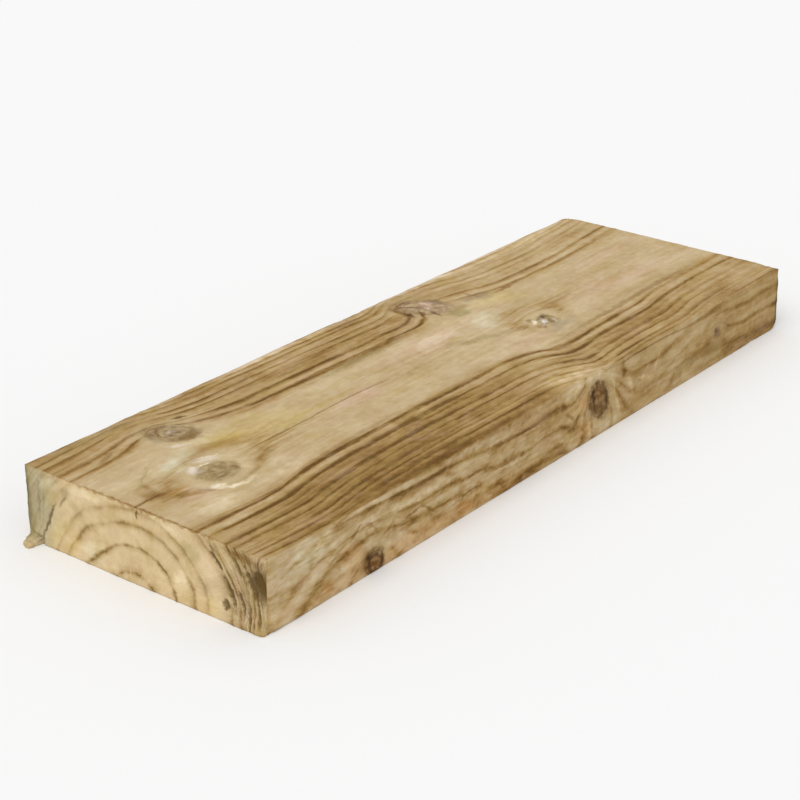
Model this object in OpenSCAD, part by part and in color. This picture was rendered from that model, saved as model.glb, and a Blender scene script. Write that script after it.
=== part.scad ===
// Railway sleeper: one sawn length of pressure treated softwood, lying on its
// wide face. +X runs along the grain towards the top of the tree, +Y across the
// width and +Z up. The origin is the middle of the bed face.
//
// The timber is what its three outlines have in common: the section seen along
// the grain, the plan seen from above and the elevation seen from the edge.
// Each outline has its own corner radii, so every arris and every worn corner
// is one named size.

/* [Timber] */
// Length along the grain
sleeper_length = 600; // [300:10:3000]
// Width of the bed face
sleeper_width = 200; // [120:5:300]
// Thickness between the bed face and the top face
sleeper_thickness = 50; // [40:1:150]

/* [Sawn arrises along the grain] */
// Rounding of both long arrises of the top face
top_arris_r = 1.5; // [0.5:0.1:6]
// Rounding of both long arrises of the bed face
bed_arris_r = 3; // [0.5:0.1:8]

/* [Near end, seen from above and from the edge] */
// Rounding of the upright arris on the +Y side
near_left_r = 2; // [0.5:0.1:12]
// Rounding of the upright arris on the -Y side
near_right_r = 3.5; // [0.5:0.1:12]
// Rounding of the crosscut arris at the top face
near_top_r = 1.2; // [0.5:0.1:6]
// Rounding of the crosscut arris at the bed face
near_bed_r = 4; // [0.5:0.1:12]

/* [Far end, seen from above and from the edge] */
// Worn corner on the +Y side
far_left_r = 12; // [0.5:0.5:20]
// Rounding of the upright arris on the -Y side
far_right_r = 4; // [0.5:0.1:12]
// Rounding of the crosscut arris at the top face
far_top_r = 2; // [0.5:0.1:6]
// Worn arris at the bed face
far_bed_r = 9; // [0.5:0.5:20]

/* [Hidden] */
$fn = 64;
treated_pine = [0.70, 0.60, 0.44];
// How far each outline is swept past the timber that it cuts
spare = 10;

// Removes the sharp corner at the origin of the quadrant x > 0, y > 0
module sharp_corner(r) {
    difference() {
        translate([-spare, -spare]) square(r + spare);
        translate([r, r]) circle(r);
        translate([0, r]) square([r, spare]);
        translate([r, 0]) square([spare, r]);
    }
}

// A rectangle centred on the origin, with corner radii listed from the low x,
// low y corner and then anticlockwise
module outline(size, radii) {
    corners = [[-1, -1], [1, -1], [1, 1], [-1, 1]];
    difference() {
        square(size, center = true);
        for (i = [0 : 3])
            translate([corners[i].x * size.x / 2, corners[i].y * size.y / 2])
                mirror([corners[i].x > 0 ? 1 : 0, 0])
                    mirror([0, corners[i].y > 0 ? 1 : 0])
                        sharp_corner(radii[i]);
    }
}

// The section across the grain, swept along X
module section_bar() {
    rotate([90, 0, 90])
        linear_extrude(sleeper_length + 2 * spare, center = true)
            outline(
                [sleeper_width, sleeper_thickness],
                [bed_arris_r, bed_arris_r, top_arris_r, top_arris_r]
            );
}

// The plan, swept along Z
module plan_block() {
    linear_extrude(sleeper_thickness + 2 * spare, center = true)
        outline(
            [sleeper_length, sleeper_width],
            [near_right_r, far_right_r, far_left_r, near_left_r]
        );
}

// The elevation, swept along Y
module elevation_block() {
    rotate([90, 0, 0])
        linear_extrude(sleeper_width + 2 * spare, center = true)
            outline(
                [sleeper_length, sleeper_thickness],
                [near_bed_r, far_bed_r, far_top_r, near_top_r]
            );
}

module sleeper() {
    color(treated_pine)
        translate([0, 0, sleeper_thickness / 2])
            intersection() {
                section_bar();
                plan_block();
                elevation_block();
            }
}

sleeper();
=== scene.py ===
"""Looks of one railway sleeper: a sawn length of pressure treated softwood, lying on its wide face."""
import logging
import math
from collections.abc import Iterable, Sequence
from dataclasses import dataclass
from enum import Enum

import bmesh
import bpy
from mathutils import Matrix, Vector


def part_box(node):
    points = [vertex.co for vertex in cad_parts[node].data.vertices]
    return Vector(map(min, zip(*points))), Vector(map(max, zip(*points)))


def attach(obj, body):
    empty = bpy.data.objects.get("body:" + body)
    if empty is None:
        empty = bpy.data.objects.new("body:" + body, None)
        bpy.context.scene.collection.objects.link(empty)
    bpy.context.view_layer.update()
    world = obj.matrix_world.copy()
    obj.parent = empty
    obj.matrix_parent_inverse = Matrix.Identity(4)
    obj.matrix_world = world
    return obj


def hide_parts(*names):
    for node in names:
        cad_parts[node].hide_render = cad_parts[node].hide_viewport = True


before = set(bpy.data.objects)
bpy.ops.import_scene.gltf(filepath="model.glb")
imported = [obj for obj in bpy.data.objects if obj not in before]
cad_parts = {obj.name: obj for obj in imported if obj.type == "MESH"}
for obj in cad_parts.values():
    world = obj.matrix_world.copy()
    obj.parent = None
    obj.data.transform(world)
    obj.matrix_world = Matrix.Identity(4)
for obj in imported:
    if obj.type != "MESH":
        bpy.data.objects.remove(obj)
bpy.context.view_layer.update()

MM = 0.001
LOG = logging.getLogger("railway_sleeper")
Socket = bpy.types.NodeSocket
NodeTree = bpy.types.NodeTree
Colour = tuple[float, ...]
Line = tuple[tuple[float, float], ...]
# Two places nearer to each other than this are the same, in millimetres
SLACK = 0.01


# ------------------------------------------------------------------ node work


def paint(red: int, green: int, blue: int) -> Colour:
    """Turn a colour chart reading into a linear colour."""
    linear = []
    for reading in (red, green, blue):
        share = reading / 255
        linear.append(share / 12.92 if share <= 0.04045 else ((share + 0.055) / 1.055) ** 2.4)
    return (*linear, 1.0)


class TreeKind(Enum):
    """Where a pattern is used: in a finish, or in the shaping of the timber."""

    FINISH = ("ShaderNodeTree", "ShaderNodeGroup")
    SHAPE = ("GeometryNodeTree", "GeometryNodeGroup")


class Sheet:
    """One node tree, with short calls for the nodes that the timber's patterns are drawn with."""

    def __init__(self, tree: NodeTree, kind: TreeKind = TreeKind.FINISH) -> None:
        """Take the tree to draw in."""
        self.tree, self.kind = tree, kind

    def add(self, kind: str, **settings: object) -> bpy.types.Node:
        """Add one node."""
        node = self.tree.nodes.new(kind)
        for name, value in settings.items():
            setattr(node, name, value)
        return node

    def feed(self, socket: Socket, value: object) -> None:
        """Link a socket's value in, or set it when it is a plain value."""
        if isinstance(value, Socket):
            self.tree.links.new(value, socket)
        elif value is not None:
            socket.default_value = value

    def math(self, operation: str, *values: object, clamp: bool = False) -> Socket:
        """Work out one sum."""
        node = self.add("ShaderNodeMath", operation=operation, use_clamp=clamp)
        for socket, value in zip(node.inputs, values):
            self.feed(socket, value)
        return node.outputs[0]

    def times(self, a: object, b: object, clamp: bool = False) -> Socket:
        """Multiply two values."""
        return self.math("MULTIPLY", a, b, clamp=clamp)

    def plus(self, a: object, b: object) -> Socket:
        """Add two values."""
        return self.math("ADD", a, b)

    def less(self, a: object, b: object) -> Socket:
        """Take the second value from the first."""
        return self.math("SUBTRACT", a, b)

    def scaled(self, value: object, by: object, add: object) -> Socket:
        """Multiply a value, then add to it."""
        return self.math("MULTIPLY_ADD", value, by, add)

    def sway(self, noise: Socket, amount: float) -> Socket:
        """Turn a noise around 0.5 into one around 0 that is as wide as the amount."""
        return self.scaled(noise, amount, -amount / 2)

    def total(self, values: Iterable[object]) -> Socket:
        """Add several values up."""
        values = list(values)
        answer = values[0]
        for value in values[1:]:
            answer = self.plus(answer, value)
        return answer

    def vector(self, operation: str, a: object, b: object = None, scale: object = None) -> Socket:
        """Work out one vector sum."""
        node = self.add("ShaderNodeVectorMath", operation=operation)
        self.feed(node.inputs[0], a)
        self.feed(node.inputs[1], b)
        self.feed(node.inputs[3], scale)
        return node.outputs[1 if operation in ("LENGTH", "DOT_PRODUCT") else 0]

    def join(self, x: object, y: object, z: object) -> Socket:
        """Make a vector."""
        node = self.add("ShaderNodeCombineXYZ")
        for socket, value in zip(node.inputs, (x, y, z)):
            self.feed(socket, value)
        return node.outputs[0]

    def split(self, vector: Socket) -> Sequence[Socket]:
        """Take a vector apart."""
        node = self.add("ShaderNodeSeparateXYZ")
        self.feed(node.inputs[0], vector)
        return node.outputs[:3]

    def noise(self, vector: Socket, scale: float, detail: float = 2.0, roughness: float = 0.5) -> Socket:
        """Even, cloudy variation."""
        node = self.add("ShaderNodeTexNoise")
        self.feed(node.inputs["Vector"], vector)
        self.feed(node.inputs["Scale"], scale)
        self.feed(node.inputs["Detail"], detail)
        self.feed(node.inputs["Roughness"], roughness)
        return node.outputs[0]

    def cloud(
        self, point: Socket, waves: Sequence[float], detail: float = 2.0, roughness: float = 0.5
    ) -> Socket:
        """Cloudy variation with its own number of clouds in a millimetre along, across and up."""
        return self.noise(self.vector("MULTIPLY", point, waves), 1.0, detail, roughness)

    def warp(self, vector: Socket, wave: float, amount: float, detail: float = 2.0) -> Socket:
        """Push a point about, so that what is drawn at it gets a ragged outline."""
        node = self.add("ShaderNodeTexNoise")
        self.feed(node.inputs["Vector"], vector)
        self.feed(node.inputs["Scale"], 1 / wave)
        self.feed(node.inputs["Detail"], detail)
        push = self.vector("SUBTRACT", node.outputs[1], (0.5, 0.5, 0.5))
        return self.vector("ADD", vector, self.vector("SCALE", push, scale=2.6 * amount))

    def remap(
        self, value: object, low: object, high: object, to_low: object = 0.0, to_high: object = 1.0,
        smooth: bool = True,
    ) -> Socket:
        """Carry a value from one range to another, and hold it there."""
        node = self.add("ShaderNodeMapRange", interpolation_type="SMOOTHSTEP" if smooth else "LINEAR")
        for socket, part in zip(node.inputs, (value, low, high, to_low, to_high)):
            self.feed(socket, part)
        return node.outputs[0]

    def bell(self, value: object, width: object) -> Socket:
        """A bell shaped hump."""
        share = self.math("DIVIDE", value, width)
        return self.math("EXPONENT", self.times(self.times(share, share), -1.0))

    def curve(self, value: object, points: Line, smooth: bool = True) -> Socket:
        """Read a value off a drawn line.

        Args:
            value: Where the line is read.
            points: The line's points, in rising order.
            smooth: Whether the line is eased through its points.

        Returns:
            The line's height there.
        """
        first, last = points[0][0], points[-1][0]
        lowest = min(height for _, height in points)
        span = max(height for _, height in points) - lowest
        share = self.remap(value, first, last, smooth=False)
        node = self.add("ShaderNodeFloatCurve")
        line = node.mapping.curves[0]
        places = [((at - first) / (last - first), (height - lowest) / span) for at, height in points]
        while len(line.points) < len(places):
            line.points.new(0.5, 0.5)
        for point, (across, up) in zip(line.points, places):
            point.location = (across, up)
            point.handle_type = "AUTO_CLAMPED" if smooth else "VECTOR"
        node.mapping.update()
        self.feed(node.inputs["Value"], share)
        return self.scaled(node.outputs[0], span, lowest)

    def mix(self, factor: object, a: object, b: object) -> Socket:
        """Blend two values."""
        node = self.add("ShaderNodeMix", data_type="FLOAT")
        for index, part in ((0, factor), (2, a), (3, b)):
            self.feed(node.inputs[index], part)
        return node.outputs[0]

    def tint(self, factor: object, a: object, b: object, blend: str = "MIX") -> Socket:
        """Blend two colours."""
        node = self.add("ShaderNodeMix", data_type="RGBA", blend_type=blend)
        for index, part in ((0, factor), (6, a), (7, b)):
            self.feed(node.inputs[index], part)
        return node.outputs[2]

    def shades(self, value: Socket, stops: Sequence[tuple[float, Colour]]) -> Socket:
        """Read a colour off a row of shades."""
        node = self.add("ShaderNodeValToRGB")
        row = node.color_ramp.elements
        while len(row) < len(stops):
            row.new(0.5)
        for element, (place, colour) in zip(row, stops):
            element.position, element.color = place, colour
        self.feed(node.inputs[0], value)
        return node.outputs[0]

    def place(self, group: NodeTree, **values: object) -> bpy.types.Node:
        """Place a pattern group."""
        node = self.add(self.kind.value[1], node_tree=group)
        for name, value in values.items():
            self.feed(node.inputs[name.replace("_", " ")], value)
        return node


class Pattern(Sheet):
    """A node group with named inputs and outputs."""

    SOCKETS = {
        "value": "NodeSocketFloat", "vector": "NodeSocketVector", "colour": "NodeSocketColor",
        "shape": "NodeSocketGeometry",
    }

    def __init__(self, name: str, kind: TreeKind, takes: dict[str, str], gives: dict[str, str]) -> None:
        """Start the group."""
        super().__init__(bpy.data.node_groups.new(name, kind.value[0]), kind)
        for side, sockets in (("INPUT", takes), ("OUTPUT", gives)):
            for socket, sort in sockets.items():
                self.tree.interface.new_socket(socket, in_out=side, socket_type=self.SOCKETS[sort])
        self.takes = self.add("NodeGroupInput").outputs
        self.gives = self.add("NodeGroupOutput").inputs

    def give(self, **values: object) -> NodeTree:
        """Fill the outputs."""
        for name, value in values.items():
            self.feed(self.gives[name.replace("_", " ")], value)
        return self.tree


# ------------------------------------------------------------------ the tree that the timber was cut from


class KnotSort(Enum):
    """How a knot has dried and weathered."""

    TIGHT = "tight"
    BLEACHED = "bleached"
    TORN = "torn"
    DEAD = "dead"


@dataclass(frozen=True)
class Knot:
    """A branch that the saw cut through. Sizes are in millimetres."""

    name: str
    x: float
    y: float
    z: float
    radius: float
    stretch: float
    swell: float
    reach: float
    sort: KnotSort


@dataclass(frozen=True)
class Tree:
    """The stem that the timber was cut from: its middle, its branches and its growth lines."""

    pith_y: float = 3.3
    pith_z: float = -15.0
    # How far a branch leans along the stem for each millimetre outwards
    climb: float = -0.5
    # How many times younger a branch's heart is than the stem's wood at the same distance
    head_start: float = 2.5
    # How softly the stem's rings pass into a branch's
    blend: float = 14.0
    # Distance from the pith at which the fibres' own millimetre is a millimetre across
    fibre_radius: float = 70.0
    knots: tuple[Knot, ...] = (
        Knot("left near", -210, 58.5, 50, 12, 0.88, 9, 20, KnotSort.TIGHT),
        Knot("middle near", -233, 0, 50, 11.5, 0.80, 12, 17, KnotSort.BLEACHED),
        Knot("edge near", -203, -100, 6.5, 8, 0.90, 6, 14, KnotSort.DEAD),
        Knot("left far", 63, 66, 50, 12.5, 0.84, 5, 18, KnotSort.TORN),
        Knot("middle far", 97, -18, 50, 8.5, 0.80, 7, 16, KnotSort.BLEACHED),
        Knot("edge far", 43, -100, 27, 11.5, 1.05, 12, 20, KnotSort.DEAD),
        Knot("pin", 205, -100, 26, 3, 0.80, 2, 10, KnotSort.TORN),
    )
    # How far the growth lines stand out from straight on each side and at the edge, along the length
    wander_right: Line = (
        (-300, -0.4), (-245, 1.8), (-215, -1), (-185, -4), (-150, -5.4), (-108, -6.8), (-12, -6),
        (8, -5), (30, -2.5), (46, 2), (62, 8), (85, 9.2), (110, 8.4), (150, 8.8), (181, 5.8),
        (205, 2.8), (240, 1.4), (300, 1),
    )
    wander_edge: Line = (
        (-300, -9.8), (-262, -3.2), (-240, -1), (-215, -0.3), (-160, -1), (-100, -2.5), (-50, -5.1),
        (-8, -4), (18, -8), (45, -3), (100, -6), (150, -2.5), (180, -0.8), (230, -3.5), (300, -4.5),
    )
    wander_left: Line = (
        (-300, 7), (-262, 8), (-215, 5), (-185, -1), (-146, -2.4), (-108, -2.6), (-50, -3.6), (0, -4.5),
        (23, -6), (40, -2), (80, 2), (127, -5), (181, -8), (238, -5), (300, 1),
    )
    # Darkness of the wood by its distance from the pith, ring after ring
    heart_rings: Line = (
        (0, 0.3), (14, 0.12), (18.5, 0.15), (20.5, 0.42), (21.9, 0.85), (23.1, 0.45), (26, 0.2),
        (29, 0.06), (34.5, 0.02), (36.6, 0.35), (37.9, 0.85), (38.9, 0.6), (39.8, 0.15), (43, 0.02),
        (48.5, 0.06), (51, 0.34), (53, 0.7), (54, 0.45), (55.5, 0.14), (58.5, 0.1), (60.5, 0.22),
        (62.4, 0.5), (63.2, 0.4), (64.2, 0.1), (67, 0.02), (72, 0.0),
    )
    outer_rings: Line = (
        (72, 0.0), (75, 0.06), (77.2, 0.2), (79, 0.45), (80.2, 0.85), (81, 1.0), (81.5, 0.7),
        (82.1, 0.3), (83.2, 0.2), (84.4, 0.24), (85.8, 0.42), (87, 0.88), (87.6, 1.0), (88.1, 0.66),
        (88.7, 0.3), (90, 0.18), (91, 0.3), (91.8, 0.42), (92.6, 0.26), (94.6, 0.4), (96.4, 0.76),
        (97.3, 1.0), (97.8, 0.6), (98.5, 0.28), (100, 0.26), (101.8, 0.56), (102.8, 1.0), (103.3, 0.5),
        (104, 0.26), (106, 0.28), (108.2, 0.6), (109.5, 1.0), (110, 0.55), (110.8, 0.28), (112.4, 0.4),
        (113.4, 0.85), (114, 0.4), (115, 0.24), (117.6, 0.5), (119.2, 1.0), (119.8, 0.5), (120.8, 0.25),
        (124, 0.34), (126, 0.45), (127, 0.28), (130, 0.3),
    )

    def branch(self, kind: TreeKind) -> NodeTree:
        """Group for one branch: how old its wood is, how it bulges the rings and turns the fibres.

        Args:
            kind: Where the group is used.

        Returns:
            The group.
        """
        g = Pattern(
            f"Branch {kind.name.lower()}",
            kind,
            dict.fromkeys(
                (
                    "Along", "Across", "Up", "Root", "Lean across", "Lean up", "Slope", "Radius",
                    "Stretch", "Swell", "Reach",
                ),
                "value",
            ),
            dict.fromkeys(("Age", "Swelling", "Turn"), "value"),
        )
        t = g.takes
        out = g.plus(g.times(t["Across"], t["Lean across"]), g.times(t["Up"], t["Lean up"]))
        side = g.less(g.times(t["Across"], t["Lean up"]), g.times(t["Up"], t["Lean across"]))
        along = g.less(t["Along"], g.scaled(out, self.climb, t["Root"]))
        spread = g.vector(
            "LENGTH", g.join(g.times(along, t["Stretch"]), side, g.math("MINIMUM", out, 0.0))
        )
        age = g.plus(
            g.math("DIVIDE", g.math("MAXIMUM", out, 0.0), self.head_start),
            g.math("DIVIDE", spread, t["Slope"]),
        )
        swelling = g.times(
            g.times(t["Swell"], g.bell(spread, g.times(t["Reach"], 1.41))),
            g.remap(out, 0.0, 40.0, smooth=False),
        )
        size = g.times(t["Radius"], t["Radius"])
        distance = g.plus(g.times(along, along), g.times(side, side))
        turn = g.times(g.math("DIVIDE", size, g.scaled(size, 0.3, distance)), g.times(side, -1.2))
        return g.give(Age=age, Swelling=swelling, Turn=g.times(turn, g.remap(out, 0.0, 20.0)))

    def grain(self, kind: TreeKind, branch: NodeTree) -> NodeTree:
        """Group for the whole stem's grain.

        Args:
            kind: Where the group is used.
            branch: The group for one branch, of the same kind.

        Returns:
            A group from a point in millimetres to the wood's ring there, its fibre direction's own
            coordinates, and how deep the point is inside each knot.
        """
        gives = {"Ring": "value", "Fibre": "vector", "Distance": "value"}
        gives |= {f"In {knot.name}": "value" for knot in self.knots}
        g = Pattern(f"Grain {kind.name.lower()}", kind, {"Point": "vector"}, gives)
        x, y, z = g.split(g.takes["Point"])
        slow = g.cloud(g.takes["Point"], (0.011, 0.025, 0.025), 2.0)
        quick = g.cloud(g.takes["Point"], (0.035, 0.12, 0.12), 2.0)
        across = g.less(y, self.pith_y)
        up = g.less(z, self.pith_z)
        edge = g.times(g.remap(across, -88.0, -102.0), g.remap(up, 66.0, 58.0))
        right = g.mix(edge, g.curve(x, self.wander_right), g.curve(x, self.wander_edge))
        right = g.times(right, g.remap(across, -20.0, -50.0))
        left = g.times(g.curve(x, self.wander_left), g.remap(across, 20.0, 50.0))
        eased = g.less(g.plus(across, right), left)
        distance = g.vector("LENGTH", g.join(eased, up, 0.0))
        distance = g.plus(distance, g.sway(slow, 2.4))
        distance = g.plus(distance, g.sway(quick, 1.1))
        branches = []
        for knot in self.knots:
            lean_y, lean_z = knot.y - self.pith_y, knot.z - self.pith_z
            depth = math.hypot(lean_y, lean_z)
            slope = knot.radius / (depth * (1 - 1 / self.head_start) - knot.swell)
            placed = g.place(
                branch, Along=x, Across=across, Up=up, Root=knot.x - self.climb * depth,
                Lean_across=lean_y / depth, Lean_up=lean_z / depth, Slope=slope, Radius=knot.radius,
                Stretch=knot.stretch, Swell=knot.swell, Reach=knot.reach,
            )
            branches.append((knot, slope, placed.outputs))
        stem = g.less(distance, g.total(outs["Swelling"] for _, _, outs in branches))
        ring = stem
        inside = {}
        for knot, slope, outs in branches:
            ring = g.math("SMOOTH_MIN", ring, outs["Age"], self.blend)
            inside[f"In_{knot.name}"] = g.times(g.less(stem, outs["Age"]), slope)
        round_pith = g.times(g.math("ARCTAN2", eased, up), self.fibre_radius)
        turned = g.total([round_pith] + [outs["Turn"] for _, _, outs in branches])
        return g.give(Ring=ring, Fibre=g.join(x, turned, ring), Distance=distance, **inside)

    def rings(self, kind: TreeKind) -> NodeTree:
        """Group for how dark the wood is, ring by ring."""
        g = Pattern(f"Growth rings {kind.name.lower()}", kind, {"Ring": "value"}, {"Dark": "value"})
        ring = g.takes["Ring"]
        heart, outer = g.curve(ring, self.heart_rings, False), g.curve(ring, self.outer_rings, False)
        return g.give(Dark=g.mix(g.math("GREATER_THAN", ring, self.outer_rings[0][0]), heart, outer))


@dataclass(frozen=True)
class Tear:
    """A place on a crosscut end where the saw pulled fibres out. Sizes are in millimetres."""

    y: float
    z: float
    long: float
    wide: float
    strength: float = 1.0


@dataclass(frozen=True)
class Breakout:
    """The wedge of wood that broke out past the crosscut at its foot. Sizes are in millimetres."""

    low_y: float = 83.0
    high_y: float = 98.5
    low_slant: float = 4.0
    high_slant: float = 4.5
    high_z: float = 4.2
    reach: float = 9.8
    steps: int = 5


@dataclass(frozen=True)
class Wear:
    """What the saw, the drying and the handling left on the timber. Sizes are in millimetres."""

    tears: tuple[Tear, ...] = (
        Tear(-61.5, 36, 9, 1.9), Tear(-58, 43, 4, 1.2, 0.7), Tear(-72, 19, 15, 2.0),
        Tear(-68.5, 10, 4.4, 3.2), Tear(-78, 37, 8, 1.5, 0.8), Tear(-88, 30, 13, 2.8),
        Tear(-96, 31, 12, 5.0), Tear(-81, 15, 10, 1.6, 0.9), Tear(-87, 10, 9, 1.6, 0.8),
        Tear(-94, 11, 8, 1.5, 0.7), Tear(80.5, 17, 19, 1.5, 0.8), Tear(67, 34, 7, 1.2, 0.5),
    )
    breakout: Breakout = Breakout()
    # The long drying check beside the pith line of the top face: place along, and place across
    check_path: Line = (
        (-300, 4.6), (-272, 5.0), (-200, 5.4), (-140, 6.2), (-95, 7.4), (-45, 4.6), (300, 5.0),
    )
    check_depth: Line = (
        (-300, 1.0), (-280, 0.8), (-270, 0.0), (-206, 0.0), (-196, 0.5), (-150, 0.75), (-100, 0.6),
        (-60, 0.35), (-40, 0.0), (300, 0.0),
    )

    def tear_pattern(self, kind: TreeKind, tree: Tree) -> NodeTree:
        """Group for all the torn places of the near end.

        Args:
            kind: Where the group is used.
            tree: The stem that the timber was cut from.

        Returns:
            The group, from a point in millimetres to how torn it is.
        """
        g = Pattern(f"Torn end grain {kind.name.lower()}", kind, {"Point": "vector"}, {"Torn": "value"})
        x, y, z = g.split(g.takes["Point"])
        across, up = g.less(y, tree.pith_y), g.less(z, tree.pith_z)
        turn, radius = g.math("ARCTAN2", across, up), g.vector("LENGTH", g.join(across, up, 0.0))
        ragged = g.noise(g.join(0.0, g.times(turn, 22.0), g.times(radius, 0.55)), 1.0, 3.0, 0.7)
        wavy = g.noise(g.join(0.0, g.times(turn, 9.0), 3.0), 1.0, 2.0)
        radius = g.plus(radius, g.sway(wavy, 3.0))
        parts = []
        for tear in self.tears:
            lean_y, lean_z = tear.y - tree.pith_y, tear.z - tree.pith_z
            middle = math.hypot(lean_y, lean_z)
            bearing = math.atan2(lean_y, lean_z)
            away = g.math("DIVIDE", g.less(turn, bearing), tear.long / middle)
            out = g.math("DIVIDE", g.less(radius, middle), tear.wide)
            reach = g.vector("LENGTH", g.join(away, out, 0.0))
            part = g.remap(g.scaled(ragged, 1.6, g.less(reach, 0.8)), 1.05, 0.45)
            parts.append(g.times(part, tear.strength))
        torn = parts[0]
        for part in parts[1:]:
            torn = g.math("MAXIMUM", torn, part)
        return g.give(Torn=g.times(torn, g.remap(x, -270.0, -290.0)))

    def check_pattern(self, kind: TreeKind) -> NodeTree:
        """Group for the long drying check of the top face."""
        g = Pattern(f"Drying check {kind.name.lower()}", kind, {"Point": "vector"}, {"Open": "value"})
        x, y, z = g.split(g.takes["Point"])
        waver = g.noise(g.join(g.times(x, 0.12), 0.0, 7.0), 1.0, 2.0)
        away = g.less(y, g.scaled(waver, 1.2, g.curve(x, self.check_path)))
        away = g.plus(away, 0.6)
        depth = g.times(g.curve(x, self.check_depth), g.remap(z, 44.0, 49.0))
        return g.give(Open=g.times(g.bell(away, 0.42), depth))


# ------------------------------------------------------------------ finishes


@dataclass(frozen=True)
class KnotFace:
    """Colours of one sort of knot."""

    core: Colour
    rings: Colour
    rim: Colour
    halo: Colour
    rim_width: float
    rim_share: float
    thinnest: float
    raggedness: float


KNOT_FACES = {
    KnotSort.TIGHT: KnotFace(
        paint(168, 145, 108), paint(120, 94, 58), paint(126, 100, 62), paint(190, 168, 126),
        1.8, 0.4, 0.55, 1.3
    ),
    KnotSort.BLEACHED: KnotFace(
        paint(162, 140, 98), paint(136, 113, 74), paint(208, 188, 148), paint(206, 186, 146),
        2.4, 0.4, 0.5, 1.5
    ),
    KnotSort.TORN: KnotFace(
        paint(178, 152, 120), paint(146, 118, 86), paint(118, 90, 58), paint(178, 152, 108),
        2.0, 0.3, 0.35, 1.7
    ),
    KnotSort.DEAD: KnotFace(
        paint(130, 97, 54), paint(98, 70, 34), paint(92, 64, 30), paint(194, 170, 124),
        2.8, 0.3, 0.7, 2.0
    ),
}


PLAIN_WOOD = paint(186, 161, 119)


class Face(Enum):
    """A face of the timber that a stain lies on."""

    TOP = "top"
    EDGE = "right edge"
    END = "near end"


@dataclass(frozen=True)
class Stain:
    """A patch of another tone. Sizes are in millimetres, half the patch each way, and turns in degrees."""

    face: Face
    along: float
    across: float
    long: float
    wide: float
    turn: float
    colour: Colour
    strength: float
    core: float = 0.25

    HARD_CORE, SMALL, DEPTH = 0.45, 5.0, 14.0

    @property
    def covers(self) -> bool:
        """Whether the patch hides the grain under it."""
        return self.core > self.HARD_CORE

    @property
    def small(self) -> bool:
        """Whether the patch needs a finely ragged outline."""
        return min(self.long, self.wide) < self.SMALL

    def settings(self) -> dict[str, object]:
        """Place the patch on its face."""
        depth, turn = self.DEPTH, math.radians(self.turn)
        middle, spread, twist = {
            Face.TOP: ((self.along, self.across, 50.0), (self.long, self.wide, depth), (0.0, 0.0, -turn)),
            Face.EDGE: ((self.along, -100.0, self.across), (self.long, depth, self.wide), (0.0, turn, 0.0)),
            Face.END: ((-300.0, self.along, self.across), (depth, self.long, self.wide), (-turn, 0.0, 0.0)),
        }[self.face]
        colour = self.colour
        if not self.covers:
            colour = tuple(part / plain for part, plain in zip(colour, PLAIN_WOOD))
        return {
            "Middle": middle, "Spread": spread, "Turn": twist, "Stain": colour, "Strength": self.strength,
            "Core": self.core,
        }


TONES = {
    "cream": paint(210, 188, 148),
    "pale green": paint(200, 186, 150),
    "yellow": paint(184, 157, 94),
    "pink": paint(196, 165, 132),
    "white": paint(240, 225, 196),
    "chalk": paint(221, 204, 184),
    "olive": paint(158, 138, 92),
    "sage": paint(156, 145, 112),
    "tan": paint(176, 150, 106),
    "brown": paint(139, 105, 55),
    "dark": paint(97, 70, 31),
    "grey": paint(148, 130, 100),
    "rust": paint(188, 146, 92),
    "dark green": paint(92, 88, 62),
}


def marks(face: Face, rows: Iterable[tuple]) -> tuple[Stain, ...]:
    """Read a list of patches."""
    return tuple(Stain(face, *row[:5], TONES[row[5]], *row[6:]) for row in rows)
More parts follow.
